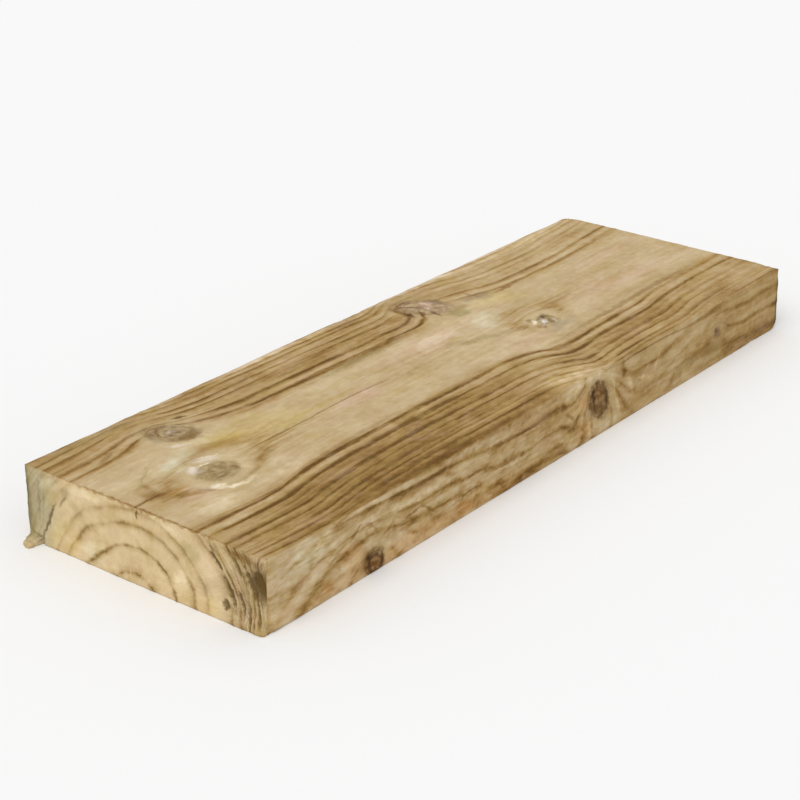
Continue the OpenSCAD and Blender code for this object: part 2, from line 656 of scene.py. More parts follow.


# Each patch: place along and across, half length, half width, turn, tone, strength and hard core
# Painted shade: a dark band down the rounded upright arris between the right edge and the far end, laid on
# both finishes
FAR_ARRIS_PAINTED_SHADE = ((299, 26, 4.5, 38, 0, "dark green", 0.7, 0.3),)
TOP_MARKS = (
    # Round the two near knots
    (-240, 27, 27, 10, 18, "pale green", 0.9), (-266, 30, 24, 1.8, 34, "olive", 0.6),
    (-270, 52, 30, 12, 10, "tan", 0.45), (-168, 22, 48, 22, -4, "yellow", 0.6),
    (-196, 30, 22, 10, -20, "yellow", 0.5), (-282, 7, 9, 11, 10, "brown", 0.85, 0.1),
    (-290, 4, 14, 1.8, 0, "brown", 0.7), (-268, 0, 14, 2.4, 4, "rust", 0.8),
    (-276, 18, 3, 6, 0, "brown", 0.5), (-264, -32, 26, 10, -6, "cream", 0.5),
    (-262, -12, 14, 12, 0, "pink", 0.5), (-205, 40, 12, 7, 20, "cream", 0.7),
    (-262, 66, 14, 2.4, 20, "brown", 0.6),
    # Round the far knots and along the middle
    (-95, 2, 40, 9, 0, "pink", 0.7), (-120, 14, 60, 5, 0, "yellow", 0.4),
    (-120, -22, 60, 7, 0, "tan", 0.4), (-150, -36, 60, 4, 3, "brown", 0.4),
    (-40, 43, 56, 4.5, 0, "olive", 0.8), (-20, 26, 40, 8, 0, "pink", 0.35),
    (14, 22, 54, 16, 6, "pink", 0.4), (30, 26, 40, 11, 8, "cream", 0.5),
    (72, 16, 26, 13, 24, "pale green", 0.45), (70, 20, 20, 9, 24, "cream", 0.4),
    (112, 34, 34, 13, -14, "yellow", 0.45), (120, 18, 34, 9, -8, "tan", 0.4),
    (104, 50, 20, 7, -20, "grey", 0.6), (150, 22, 34, 9, 0, "tan", 0.6),
    (40, -2, 40, 5, -18, "olive", 0.7), (58, -30, 40, 12, 0, "pink", 0.5),
    (25, -88, 30, 10, 0, "cream", 1), (140, 2, 30, 7, 0, "tan", 0.5),
    (205, -14, 70, 14, -4, "pink", 0.5), (200, -36, 120, 8, 1, "tan", 0.7),
    (170, -43, 130, 3.5, 2, "brown", 0.6), (66, -34, 40, 7, -10, "tan", 0.5),
    (-92, -50, 46, 7, 0, "cream", 0.75), (-160, -72, 60, 5, 0, "tan", 0.3),
    (-205, -34, 34, 6, 0, "cream", 0.4), (230, 24, 50, 7, 2, "pink", 0.4),
    (280, -45, 20, 8, 0, "yellow", 0.5),
    # Along the arrises; the cream and chalk bands along the left arris are a painted highlight on its
    # rounded edge
    (-300, 0, 2.6, 84, 0, "brown", 0.9, 0.4), (-250, 94, 60, 7, 0, "sage", 0.3),
    (-60, 97, 90, 6, 0, "cream", 0.7), (0, 99, 320, 6, 0, "chalk", 0.5),
    (200, 94, 110, 8, 0, "cream", 0.7),
    # Dark foot of the right arris
    (-110, -97, 105, 4, 0, "brown", 0.6), (215, -92, 60, 8, 0, "brown", 0.35),
    # Near left knot
    (-208, 50, 12, 6, 0, "brown", 0.5), (-211, 61, 4.5, 5, 60, "chalk", 0.4, 0.3),
    (-222, 44, 9, 2.6, -30, "chalk", 0.4, 0.4), (-200, 64, 9, 1.3, -45, "cream", 0.6, 0.5),
    (-191, 73, 6, 1.8, -22, "dark", 0.8, 0.5), (-218, 66, 9, 1.6, 58, "brown", 0.6, 0.4),
    (-226, 62, 4, 7, 0, "grey", 0.5), (-214, 70, 9, 3, 0, "brown", 0.45),
    # Middle near knot
    (-241, 11, 8, 6.5, 30, "chalk", 0.85, 0.2), (-226, 17, 13, 4, -18, "chalk", 0.5, 0.2),
    (-231, 12.5, 8, 1.4, -12, "white", 0.6, 0.4), (-222, 19, 9, 1.4, -24, "white", 0.6, 0.5),
    (-213, 10, 9, 1.6, -50, "cream", 0.6, 0.5), (-218, -8, 8, 1.6, -62, "cream", 0.6, 0.5),
    (-248, -16, 7, 4.2, -36, "white", 0.8, 0.3), (-240, -23, 9, 3, -14, "white", 0.7, 0.3),
    (-228, -24, 8, 2, 16, "cream", 0.7, 0.4), (-222, -5, 4, 4, 0, "brown", 0.8, 0.2),
    (-236, -8, 8, 2.6, 0, "brown", 0.6), (-256, -13, 7, 2, -62, "grey", 0.5),
    # Left far knot
    (42, 73, 14, 4, 84, "brown", 0.85, 0.3), (43, 66, 8, 2.4, 80, "dark", 0.8, 0.4),
    (56, 83, 12, 2, 4, "brown", 0.75, 0.3), (62, 78, 10, 1.5, -20, "brown", 0.6, 0.3),
    (58, 53, 7, 2.8, 80, "dark", 0.75, 0.3), (50, 58, 6, 2, 40, "brown", 0.7, 0.3),
    (66, 68, 9, 6, 30, "pink", 0.85, 0.2), (66, 72, 7, 2.2, -60, "cream", 0.8, 0.3),
    (60, 63, 6, 2, 70, "cream", 0.7, 0.3), (52, 76, 13, 1.6, -50, "dark", 0.6, 0.3),
    (50, 60, 12, 1.6, 58, "dark", 0.6, 0.3), (76, 66, 5, 9, 20, "grey", 0.6, 0.4),
    (70, 42, 13, 9, -20, "olive", 0.9), (82, 46, 9, 5, -10, "brown", 0.4),
    (104, 56, 2, 12, 8, "brown", 0.4, 0.5), (131, 44, 16, 2.2, -2, "brown", 0.8, 0.4),
    (36, 76, 8, 2, 20, "cream", 0.5, 0.4),
    # Middle far knot
    (98, -31, 26, 12, 8, "grey", 0.55, 0.1), (92, -38, 30, 3.6, 6, "cream", 0.5, 0.1),
    (97, -17, 13, 8, 0, "tan", 0.8, 0.4), (102, -10, 7, 5, 10, "dark", 0.8, 0.2),
    (88, -9, 4.5, 3, 30, "dark", 0.5, 0.3), (84, -22, 5, 3, 30, "brown", 0.6, 0.3),
    (93, -18, 11, 4, 42, "chalk", 0.7, 0.2), (88, -14, 6, 2.2, 42, "white", 0.8, 0.2),
    (94, -19, 7, 2.6, 36, "white", 0.95, 0.2), (101, -22, 5, 2.6, 60, "white", 0.8, 0.2),
    (91, -22, 3, 1.6, 20, "dark", 0.6, 0.2), (98, -15, 4, 1.6, 50, "dark", 0.7, 0.3),
    (86, -25, 5, 1.8, 40, "brown", 0.7, 0.4),
)
EDGE_MARKS = (
    (-265, 36, 30, 12, 10, "pale green", 0.5), (-250, 42, 10, 5, 40, "cream", 0.8, 0.3),
    (-150, 6, 150, 9, 0, "rust", 0.5), (-280, 10, 24, 8, 0, "pink", 0.35),
    (-245, 8, 5, 6, 0, "rust", 0.7), (-256, 4, 8, 4, 0, "pink", 0.6), (-110, 8, 10, 8, 0, "rust", 0.6),
    (-224, 20, 14, 10, -30, "rust", 0.5),
    # Near knot, with the dark bark left on its left side
    (-212, 11, 7, 11, 0, "brown", 0.5), (-208, 6, 2.4, 8, 10, "dark", 0.6, 0.3),
    (-204, 12, 9, 2.6, 0, "dark", 0.5, 0.2), (-196, 6, 2.2, 7, -10, "dark", 0.7, 0.3),
    (-202, 7, 2.4, 5, 0, "rust", 0.6), (-190, 9, 4, 6, 0, "cream", 0.5, 0.4),
    # Short dark wavy marks left by smaller branches
    (-220, 34, 9, 1.8, 34, "brown", 0.75, 0.3), (-206, 33, 8, 1.6, -30, "brown", 0.6, 0.3),
    (-221, 27, 7, 2.6, 0, "brown", 0.5, 0.3), (-166, 25, 13, 1.6, 10, "brown", 0.85, 0.3),
    (-150, 22, 10, 1.6, -35, "brown", 0.7, 0.3), (-136, 28, 9, 1.5, 20, "brown", 0.6, 0.3),
    (-190, 24, 9, 1.4, 30, "brown", 0.6, 0.3), (-238, 26, 14, 1.5, 28, "brown", 0.5, 0.3),
    (-60, 37, 46, 1.5, -3, "brown", 0.6, 0.4), (-68, 21, 22, 1.5, -4, "brown", 0.5, 0.4),
    (-110, 16, 22, 1.5, 8, "brown", 0.4, 0.4), (-160, 34, 20, 3, 5, "cream", 0.6),
    (-1, 37, 4, 5, 40, "brown", 0.8, 0.3), (8, 27, 9, 2, -40, "brown", 0.7, 0.3),
    (-48, 21, 3.4, 3, 0, "brown", 0.75),
    # Far knot with its collar
    (24, 31, 6, 11, -20, "rust", 0.8, 0.2), (16, 34, 7, 9, 30, "cream", 0.6, 0.3),
    (9, 14, 6, 9, 10, "cream", 0.5, 0.3), (26, 11, 13, 8, 0, "rust", 0.6),
    (28, 46, 36, 5, 0, "cream", 0.5), (36, 32, 2.6, 13, 8, "dark", 0.8, 0.3),
    (53, 24, 2.8, 13, 14, "dark", 0.75, 0.3), (44, 30, 5, 10, 0, "rust", 0.45),
    (45, 38, 7, 3, 0, "grey", 0.5), (66, 22, 2.4, 20, 22, "cream", 0.7, 0.4),
    (60, 5, 12, 5, 0, "pale green", 0.5),
    # The smooth hollow beside it
    (74, 40, 3.6, 9, 12, "brown", 0.8, 0.3), (94, 34, 17, 9, 0, "tan", 0.7, 0.3),
    (84, 26, 3, 13, 24, "cream", 0.8, 0.3), (104, 24, 15, 2.2, -16, "cream", 0.8, 0.3),
    (120, 33, 2.4, 9, -30, "cream", 0.6, 0.3), (135, 22, 40, 14, 0, "tan", 0.35),
    (204, 27, 4, 3, -24, "brown", 0.85, 0.2), (178, 25, 5, 2.4, 0, "brown", 0.6),
    (160, 14, 24, 6, 6, "olive", 0.4), (200, 12, 40, 8, 0, "olive", 0.4),
) + FAR_ARRIS_PAINTED_SHADE
END_MARKS = (
    (90, 24, 22, 50, 0, "sage", 0.8), (98, 28, 5, 40, 0, "olive", 0.8, 0.2),
    (99, 28, 3, 44, 0, "dark green", 0.5, 0.2), (88, 30, 1.6, 20, 2, "grey", 0.6),
    (84, 26, 1.3, 18, 4, "olive", 0.5), (74, 10, 6, 14, 14, "yellow", 0.45),
    (58, 8, 6, 14, 20, "yellow", 0.4), (82, 42, 12, 5, -6, "cream", 0.7),
    (45, 45, 16, 4, 0, "cream", 0.6), (64, 40, 7, 5, 0, "grey", 0.5), (55, 33, 9, 4, 30, "olive", 0.45),
    (-40, 36, 10, 8, -30, "olive", 0.7), (-24, 44, 10, 4, 0, "cream", 0.5),
    (-58, 30, 7, 10, 0, "pink", 0.45), (-34, 14, 9, 6, 0, "cream", 0.5),
    (-56, 4, 10, 6, 0, "yellow", 0.4), (-52, 14, 6, 7, 0, "grey", 0.35),
    (-84, 24, 24, 34, 0, "grey", 0.4), (-80, 45, 18, 4, 6, "brown", 0.8, 0.2),
    (-95, 31, 8, 15, 0, "dark", 0.85, 0.2), (-78, 26, 4, 13, 12, "pink", 0.6),
    (-90, 8, 8, 5, 0, "pink", 0.5), (0, 50, 110, 1.5, 0, "brown", 0.7),
    (2, 46, 1.6, 4, 0, "dark", 0.8, 0.3), (40, 8, 14, 8, 0, "pale green", 0.45),
)


@dataclass(frozen=True)
class SawnFace:
    """Finish of the faces sawn along the grain."""

    name: str = "treated_pine_sawn_along"
    shades: tuple[tuple[float, Colour], ...] = (
        (0.0, paint(212, 193, 156)), (0.22, paint(197, 174, 135)), (0.42, paint(180, 152, 106)),
        (0.62, paint(158, 126, 74)), (0.82, paint(131, 98, 46)), (1.0, paint(103, 73, 28)),
    )
    # How strong the growth lines are, and how much darker the wood is, on each side along the length
    lines_right: Line = (
        (-300, 0.7), (-260, 0.95), (-100, 1.0), (-20, 0.9), (20, 0.65), (60, 0.9), (120, 0.8),
        (200, 0.6), (300, 0.55),
    )
    shade_right: Line = (
        (-300, 0.1), (-230, 0.22), (-150, 0.3), (-60, 0.28), (-10, 0.18), (30, 0.06), (60, 0.12),
        (120, 0.16), (200, 0.14), (300, 0.16),
    )
    lines_left: Line = (
        (-300, 0.65), (-190, 0.75), (-150, 0.95), (-20, 1.0), (30, 0.9), (70, 0.45), (120, 0.6),
        (300, 0.6),
    )
    shade_left: Line = (
        (-300, 0.16), (-200, 0.14), (-120, 0.12), (-60, 0.06), (-20, 0.06), (60, 0.1), (110, 0.04),
        (200, 0.0), (300, 0.0),
    )
    lines_edge: Line = ((-300, 0.7), (-200, 0.75), (-20, 0.65), (60, 0.5), (140, 0.45), (300, 0.5))
    shade_edge: Line = (
        (-300, -0.08), (-265, -0.1), (-200, -0.08), (-100, -0.02), (-10, 0.08), (40, 0.02), (80, 0.2),
        (145, 0.1), (200, 0.18), (300, 0.28),
    )
    # How broken the sawn surface of the right edge is, along the length
    hacked_edge: Line = (
        (-300, 0.5), (-250, 0.9), (-120, 1.0), (-20, 0.8), (30, 0.7), (80, 0.35), (140, 0.3),
        (300, 0.3),
    )
    stains: tuple[Stain, ...] = marks(Face.TOP, TOP_MARKS) + marks(Face.EDGE, EDGE_MARKS)


@dataclass(frozen=True)
class CrosscutFace:
    """Finish of the two crosscut ends."""

    name: str = "treated_pine_crosscut"
    shades: tuple[tuple[float, Colour], ...] = (
        (0.0, paint(220, 198, 156)), (0.3, paint(204, 179, 135)), (0.55, paint(181, 155, 110)),
        (0.8, paint(150, 122, 71)), (1.0, paint(115, 88, 42)),
    )
    stains: tuple[Stain, ...] = marks(Face.END, END_MARKS) + marks(Face.EDGE, FAR_ARRIS_PAINTED_SHADE)


class Finishes:
    """Every finish of the timber, built from the same few pattern groups."""

    REFRACTION, SHINE, RELIEF = 1.45, 0.15, 0.6 * MM

    def __init__(self, tree: Tree, wear: Wear) -> None:
        """Build the pattern groups."""
        self.tree = tree
        kind = TreeKind.FINISH
        self.torn = wear.tear_pattern(kind, tree)
        self.check = wear.check_pattern(kind)
        self.grain = tree.grain(kind, tree.branch(kind))
        self.rings = tree.rings(kind)
        self.knot_face = self.build_knot_face()
        self.stain = self.build_stain("Stain", "MULTIPLY")
        self.mark = self.build_stain("Mark", "MIX")

    def build_knot_face(self) -> NodeTree:
        """Group that lays one knot over the wood's colour.

        Returns:
            The group.
        """
        kind = TreeKind.FINISH
        g = Pattern(
            "Knot face",
            kind,
            {
                "Wood": "colour", "Inside": "value", "Dark": "value", "Ragged": "value",
                "Core": "colour", "Rings": "colour", "Rim": "colour", "Halo": "colour",
                "Rim width": "value", "Rim share": "value", "Cover": "value",
            },
            {"Colour": "colour"},
        )
        t = g.takes
        inside = g.plus(t["Inside"], t["Ragged"])
        halo = g.times(g.bell(g.plus(inside, 3.0), 4.0), 0.5)
        colour = g.tint(halo, t["Wood"], t["Halo"])
        core = g.tint(g.times(t["Dark"], 0.75, clamp=True), t["Core"], t["Rings"])
        colour = g.tint(g.times(g.remap(inside, -0.8, 2.0), t["Cover"]), colour, core)
        colour = g.tint(g.times(g.bell(inside, t["Rim width"]), t["Rim share"]), colour, t["Rim"])
        return g.give(Colour=colour)

    def build_stain(self, name: str, blend: str) -> NodeTree:
        """Group for a patch of another tone.

        Args:
            name: The group's name.
            blend: How the patch is laid on the wood.

        Returns:
            The group.
        """
        g = Pattern(
            name,
            TreeKind.FINISH,
            {
                "Under": "colour", "Point": "vector", "Middle": "vector", "Spread": "vector",
                "Turn": "vector", "Stain": "colour", "Strength": "value", "Core": "value",
            },
            {"Colour": "colour"},
        )
        t = g.takes
        offset = g.vector("SUBTRACT", t["Point"], t["Middle"])
        turned = g.add("ShaderNodeVectorRotate", rotation_type="EULER_XYZ")
        g.feed(turned.inputs["Vector"], offset)
        g.feed(turned.inputs["Rotation"], t["Turn"])
        reach = g.vector("LENGTH", g.vector("DIVIDE", turned.outputs[0], t["Spread"]))
        share = g.times(g.remap(reach, 1.15, t["Core"]), t["Strength"])
        return g.give(Colour=g.tint(share, t["Under"], t["Stain"], blend))

    def stains_over(self, s: Sheet, colour: Socket, point: Socket, stains: Iterable[Stain]) -> Socket:
        """Lay every stain over the wood, with ragged outlines."""
        soft = s.warp(point, 10.0, 6.0, 5.0)
        sharp = s.warp(point, 4.5, 2.2, 4.0)
        for stain in stains:
            colour = s.place(
                self.mark if stain.covers else self.stain, Under=colour,
                Point=sharp if stain.small else soft, **stain.settings()
            ).outputs[0]
        return colour

    def start(self, name: str) -> tuple[bpy.types.Material, Sheet, Socket, bpy.types.Node]:
        """Start a material."""
        material = bpy.data.materials.new(name)
        material.use_nodes = True
        material.node_tree.nodes.clear()
        s = Sheet(material.node_tree)
        place = s.add("ShaderNodeTexCoord").outputs["Object"]
        point = s.vector("SCALE", place, scale=1 / MM)
        grain = s.place(self.grain, Point=point)
        return material, s, point, grain

    def close(self, s: Sheet, colour: Socket, roughness: Socket, height: Socket) -> None:
        """Finish a material with its shader."""
        bump = s.add("ShaderNodeBump")
        bump.inputs["Strength"].default_value = 1.0
        bump.inputs["Distance"].default_value = self.RELIEF
        s.feed(bump.inputs["Height"], height)
        shader = s.add("ShaderNodeBsdfPrincipled")
        shader.inputs["IOR"].default_value = self.REFRACTION
        shader.inputs["Specular IOR Level"].default_value = self.SHINE
        s.feed(shader.inputs["Base Color"], colour)
        s.feed(shader.inputs["Roughness"], roughness)
        s.feed(shader.inputs["Normal"], bump.outputs[0])
        s.feed(s.add("ShaderNodeOutputMaterial").inputs["Surface"], shader.outputs[0])

    def knots_over(
        self, s: Sheet, colour: Socket, grain: bpy.types.Node, dark: Socket, ragged: Socket, patchy: Socket
    ) -> Socket:
        """Lay every knot over the wood."""
        for knot in self.tree.knots:
            face = KNOT_FACES[knot.sort]
            cover = s.remap(patchy, 0.38, 0.56, face.thinnest, 1.0)
            outline = s.times(ragged, face.raggedness * min(1.0, knot.radius / 8))
            colour = s.place(
                self.knot_face, Wood=colour, Inside=grain.outputs[f"In {knot.name}"], Dark=dark,
                Ragged=outline, Cover=cover, Core=face.core, Rings=face.rings, Rim=face.rim, Halo=face.halo,
                Rim_width=face.rim_width, Rim_share=face.rim_share,
            ).outputs[0]
        return colour

    def sawn(self, finish: SawnFace) -> bpy.types.Material:
        """Material of the long faces.

        Args:
            finish: The finish's shades and stains.

        Returns:
            The material.
        """
        material, s, point, grain = self.start(finish.name)
        ring, fibre = grain.outputs["Ring"], grain.outputs["Fibre"]
        x, y, z = s.split(point)
        frayed = s.cloud(fibre, (0.22, 0.7, 0.1), 3.0, 0.7)
        frayed_ring = s.scaled(frayed, 1.5, s.less(ring, 0.75))
        dark = s.place(self.rings, Ring=frayed_ring).outputs[0]
        strand = s.cloud(fibre, (0.04, 1.1, 0.9), 3.0, 0.65)
        streak = s.cloud(fibre, (0.012, 0.3, 0.25), 3.0, 0.6)
        fleck = s.cloud(fibre, (0.3, 1.5, 1.1), 2.0, 0.65)
        cloud = s.cloud(point, (0.02, 0.035, 0.035), 3.0, 0.6)
        mottle = s.cloud(point, (0.16, 0.2, 0.2), 3.0, 0.65)
        blotch = s.cloud(point, (0.045, 0.09, 0.09), 3.0, 0.6)
        edge = s.times(s.remap(y, -98.5, -99.6), s.remap(z, 49.4, 48.0))
        right = s.remap(y, 5.0, -5.0)
        lines = s.mix(right, s.curve(x, finish.lines_left), s.curve(x, finish.lines_right))
        lines = s.times(lines, s.remap(ring, 88.0, 95.0, 1.0, 0.66))
        lines = s.mix(edge, lines, s.curve(x, finish.lines_edge))
        shade = s.mix(right, s.curve(x, finish.shade_left), s.curve(x, finish.shade_right))
        shade = s.times(shade, s.remap(ring, 83.0, 91.0))
        shade = s.mix(edge, shade, s.curve(x, finish.shade_edge))
        broken = s.remap(streak, 0.32, 0.62, 0.55, 1.1)
        rough = s.mix(edge, 1.0, 1.1)
        hacked = s.noise(s.warp(s.vector("MULTIPLY", point, (0.075, 0.0, 0.16)), 1.2, 0.5), 1.0, 2.0, 0.6)
        hacked = s.less(s.remap(hacked, 0.5, 0.68, 0.0, 0.2), s.remap(hacked, 0.5, 0.32, 0.0, 0.16))
        hacked = s.times(s.times(hacked, edge), s.curve(x, finish.hacked_edge))
        tone = s.total(
            [
                s.times(s.times(dark, lines), broken),
                shade,
                s.times(s.sway(strand, 0.28), rough),
                s.sway(streak, 0.3),
                s.times(s.sway(fleck, 0.32), rough),
                s.sway(cloud, 0.5),
                s.sway(blotch, 0.44),
                s.sway(mottle, 0.34),
                hacked,
                s.mix(edge, 0.21, 0.14),
            ]
        )
        colour = s.shades(tone, finish.shades)
        hue = s.cloud(point, (0.03, 0.06, 0.06), 4.0, 0.65)
        colour = s.tint(s.remap(hue, 0.5, 0.66, 0.0, 0.3), colour, TONES["yellow"])
        colour = s.tint(s.remap(hue, 0.5, 0.34, 0.0, 0.22), colour, TONES["pink"])
        ragged = s.cloud(point, (0.14, 0.14, 0.14), 3.0, 0.6)
        ragged = s.sway(ragged, 7.0)
        swirl = s.scaled(ragged, 0.9, ring)
        knot_dark = s.place(self.rings, Ring=s.scaled(fleck, 3.0, swirl)).outputs[0]
        knot_dark = s.scaled(knot_dark, 0.6, s.remap(mottle, 0.42, 0.68, -0.1, 0.7))
        colour = self.knots_over(s, colour, grain, knot_dark, ragged, mottle)
        colour = self.stains_over(s, colour, point, finish.stains)
        # Painted shade: the drying check is painted dark, standing in for the shade inside the narrow crack
        check = s.place(self.check, Point=point).outputs[0]
        colour = s.tint(s.times(check, 0.95, clamp=True), colour, paint(98, 72, 42))
        grit = s.scaled(s.plus(fleck, strand), 0.42, 0.58)
        colour = s.tint(1.0, colour, s.join(grit, grit, grit), "MULTIPLY")
        height = s.total([s.times(strand, 0.5), s.times(fleck, 0.5), s.times(dark, 0.25)])
        roughness = s.remap(tone, 0.0, 1.0, 0.86, 0.72)
        self.close(s, colour, roughness, height)
        return material

    def crosscut(self, finish: CrosscutFace) -> bpy.types.Material:
        """Material of the crosscut ends.

        Args:
            finish: The finish's shades.

        Returns:
            The material.
        """
        material, s, point, grain = self.start(finish.name)
        ring = grain.outputs["Ring"]
        x, y, z = s.split(point)
        turn = s.math("ARCTAN2", s.less(y, self.tree.pith_y), s.less(z, self.tree.pith_z))
        wavy = s.noise(s.join(s.times(turn, 7.0), s.times(ring, 0.05), x), 1.0, 3.0, 0.65)
        dark = s.place(self.rings, Ring=s.scaled(wavy, 4.0, s.less(ring, 2.0))).outputs[0]
        patch = s.noise(s.join(s.times(turn, 5.0), s.times(ring, 0.09), x), 1.0, 2.0, 0.6)
        broken = s.noise(s.join(s.times(turn, 4.0), s.times(ring, 0.03), 4.0), 1.0, 2.0)
        ray = s.noise(s.join(s.times(turn, 90.0), s.times(ring, 0.12), x), 1.0, 2.0, 0.6)
        torn_fibre = s.noise(s.join(s.times(turn, 5.0), s.times(ring, 0.5), x), 1.0, 3.0, 0.65)
        fibrous = s.times(s.remap(ring, 80.0, 90.0), s.remap(y, -20.0, -50.0, 0.35, 1.0))
        pores = s.cloud(point, (0.05, 0.9, 0.9), 3.0, 0.65)
        hue = s.cloud(point, (0.02, 0.07, 0.07), 2.0)
        outer = s.remap(ring, 72.0, 92.0, 0.0, 0.2)
        faint = s.less(1.0, s.times(s.remap(ring, 70.0, 80.0), s.remap(y, -40.0, 40.0, 0.35, 0.75)))
        tone = s.total(
            [
                s.times(s.times(dark, s.remap(broken, 0.35, 0.6, 0.4, 0.95)), faint),
                s.sway(pores, 0.4),
                s.sway(patch, 0.6),
                s.sway(ray, 0.3),
                s.times(s.sway(torn_fibre, 1.5), fibrous),
                outer,
                0.12,
            ]
        )
        colour = s.shades(tone, finish.shades)
        colour = s.tint(s.remap(hue, 0.52, 0.7, 0.0, 0.4), colour, TONES["yellow"])
        colour = s.tint(s.remap(hue, 0.48, 0.3, 0.0, 0.35), colour, TONES["pink"])
        colour = self.knots_over(s, colour, grain, dark, s.less(patch, 0.5), patch)
        colour = self.stains_over(s, colour, point, finish.stains)
        torn = s.place(self.torn, Point=point).outputs[0]
        colour = s.tint(s.times(torn, 0.85, clamp=True), colour, paint(94, 73, 35))
        grit = s.scaled(pores, 0.5, 0.75)
        colour = s.tint(1.0, colour, s.join(grit, grit, grit), "MULTIPLY")
        height = s.total([s.times(pores, 0.8), s.times(ray, 0.4)])
        self.close(s, colour, s.remap(tone, 0.0, 1.0, 0.9, 0.8), height)
        return material


# ------------------------------------------------------------------ the timber


@dataclass
class Timber:
    """The sawn timber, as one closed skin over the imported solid. Sizes are in millimetres."""

    length: float
    width: float
    thickness: float
    tree: Tree
    wear: Wear
    # Width of the cells of the skin, zone by zone, from the near end
    along_zones: Line = ((-296, 2.4), (-250, 1.4), (-188, 3.4), (18, 1.5), (118, 3.4))
    along_end: float = 288.0
    corner_steps: tuple[float, ...] = (0.6, 1.3, 2.4, 4.0)
    worn_steps: tuple[float, ...] = (0.8, 1.8, 3.4, 5.6, 8.6)
    plan_corners: tuple[float, ...] = (3.5, 2.2, 17.0, 2.0)
    elevation_corners: tuple[float, ...] = (1.0, 11.0, 1.8, 1.2)
    section_corners: tuple[float, ...] = (1.4, 3.0, 1.5, 1.5)
    # Corners that have been knocked, and how much more they are worn
    knocked_corners: tuple[tuple[tuple[float, float, float], float], ...] = (
        ((-300.0, -100.0, 0.0), 1.0), ((300.0, -100.0, 50.0), 1.3),
    )

    def blank(self) -> bpy.types.Object:
        """Add the plain sharp block."""
        bpy.ops.object.select_all(action="DESELECT")
        bpy.ops.mesh.primitive_cube_add(size=1.0, location=(0, 0, self.thickness * MM / 2))
        block = bpy.context.object
        block.name = block.data.name = "sleeper_timber"
        block.scale = (self.length * MM, self.width * MM, self.thickness * MM)
        bpy.ops.object.transform_apply(location=True, rotation=True, scale=True)
        bpy.ops.object.mode_set(mode="EDIT")
        return block

    def cut_at(self, axis: int, place: float) -> None:
        """Cut the skin all round at one place."""
        where, normal = [0.0, 0.0, 0.0], [0.0, 0.0, 0.0]
        where[axis], normal[axis] = place * MM, 1.0
        bpy.ops.mesh.select_all(action="SELECT")
        bpy.ops.mesh.bisect(plane_co=where, plane_no=normal)

    def divide(self, block: bpy.types.Object, axis: int, low: float, high: float, cell: float) -> None:
        """Divide the edges that run across one zone into even cells."""
        cuts = max(0, round((high - low) / cell) - 1)
        if not cuts:
            return
        bpy.ops.mesh.select_mode(type="EDGE")
        bpy.ops.mesh.select_all(action="DESELECT")
        skin = bmesh.from_edit_mesh(block.data)
        slack = SLACK * MM
        for edge in skin.edges:
            a, b = sorted(vert.co[axis] for vert in edge.verts)
            edge.select = b - a > slack and a > low * MM - slack and b < high * MM + slack
        bmesh.update_edit_mesh(block.data)
        bpy.ops.mesh.subdivide(number_cuts=cuts)

    def zone_cells(
        self, block: bpy.types.Object, axis: int, zones: Sequence[tuple[float, float]], end: float
    ) -> None:
        """Cut and divide one direction, zone by zone."""
        starts = [start for start, _ in zones]
        for place in starts + [end]:
            self.cut_at(axis, place)
        for (start, cell), stop in zip(zones, starts[1:] + [end]):
            self.divide(block, axis, start, stop, cell)

    def cells(self, block: bpy.types.Object) -> None:
        """Divide the block's skin into cells, finer at the corners and the knots."""
        half_l, half_w = self.length / 2, self.width / 2
        for step in self.corner_steps[:-1]:
            self.cut_at(0, step - half_l)
        for step in self.worn_steps:
            self.cut_at(0, half_l - step)
        self.zone_cells(block, 0, self.along_zones, self.along_end)
        for step in self.corner_steps[:-1]:
            self.cut_at(2, step)
            self.cut_at(2, self.thickness - step)
            self.cut_at(1, step - half_w)
            self.cut_at(1, half_w - step)
        edge = self.corner_steps[-1]
        self.zone_cells(block, 2, ((edge, 1.4),), self.thickness - edge)
        self.zone_cells(
            block, 1, ((edge - half_w, 1.25), (-40, 1.8), (3.5, 0.6), (8.5, 1.8), (40, 1.25)), half_w - edge
        )

    def coarsen_bed(self, block: bpy.types.Object) -> None:
        """Take out every other cell line of the bed face, which carries the coarsest relief.

        Args:
            block: The timber in edit mode.
        """
        skin = bmesh.from_edit_mesh(block.data)
        bpy.ops.mesh.select_all(action="DESELECT")
        slack, rim = SLACK * MM, 8 * MM
        half = (self.length * MM / 2 - rim, self.width * MM / 2 - rim)
        bed = [vert for vert in skin.verts if abs(vert.co.z) < slack]
        drop = []
        for axis in (0, 1):
            lines = sorted({round(vert.co[axis] / slack) for vert in bed if abs(vert.co[axis]) < half[axis]})
            drop.append(set(lines[1:-1:2]))
        for edge in skin.edges:
            a, b = edge.verts
            if abs(a.co.z) > slack or abs(b.co.z) > slack:
                continue
            for axis in (0, 1):
                place = round(a.co[axis] / slack)
                same = place == round(b.co[axis] / slack)
                inner = max(abs(a.co[1 - axis]), abs(b.co[1 - axis])) < half[1 - axis]
                if same and inner and place in drop[axis]:
                    edge.select = True
        bmesh.update_edit_mesh(block.data)
        bpy.ops.mesh.dissolve_edges(use_verts=True)

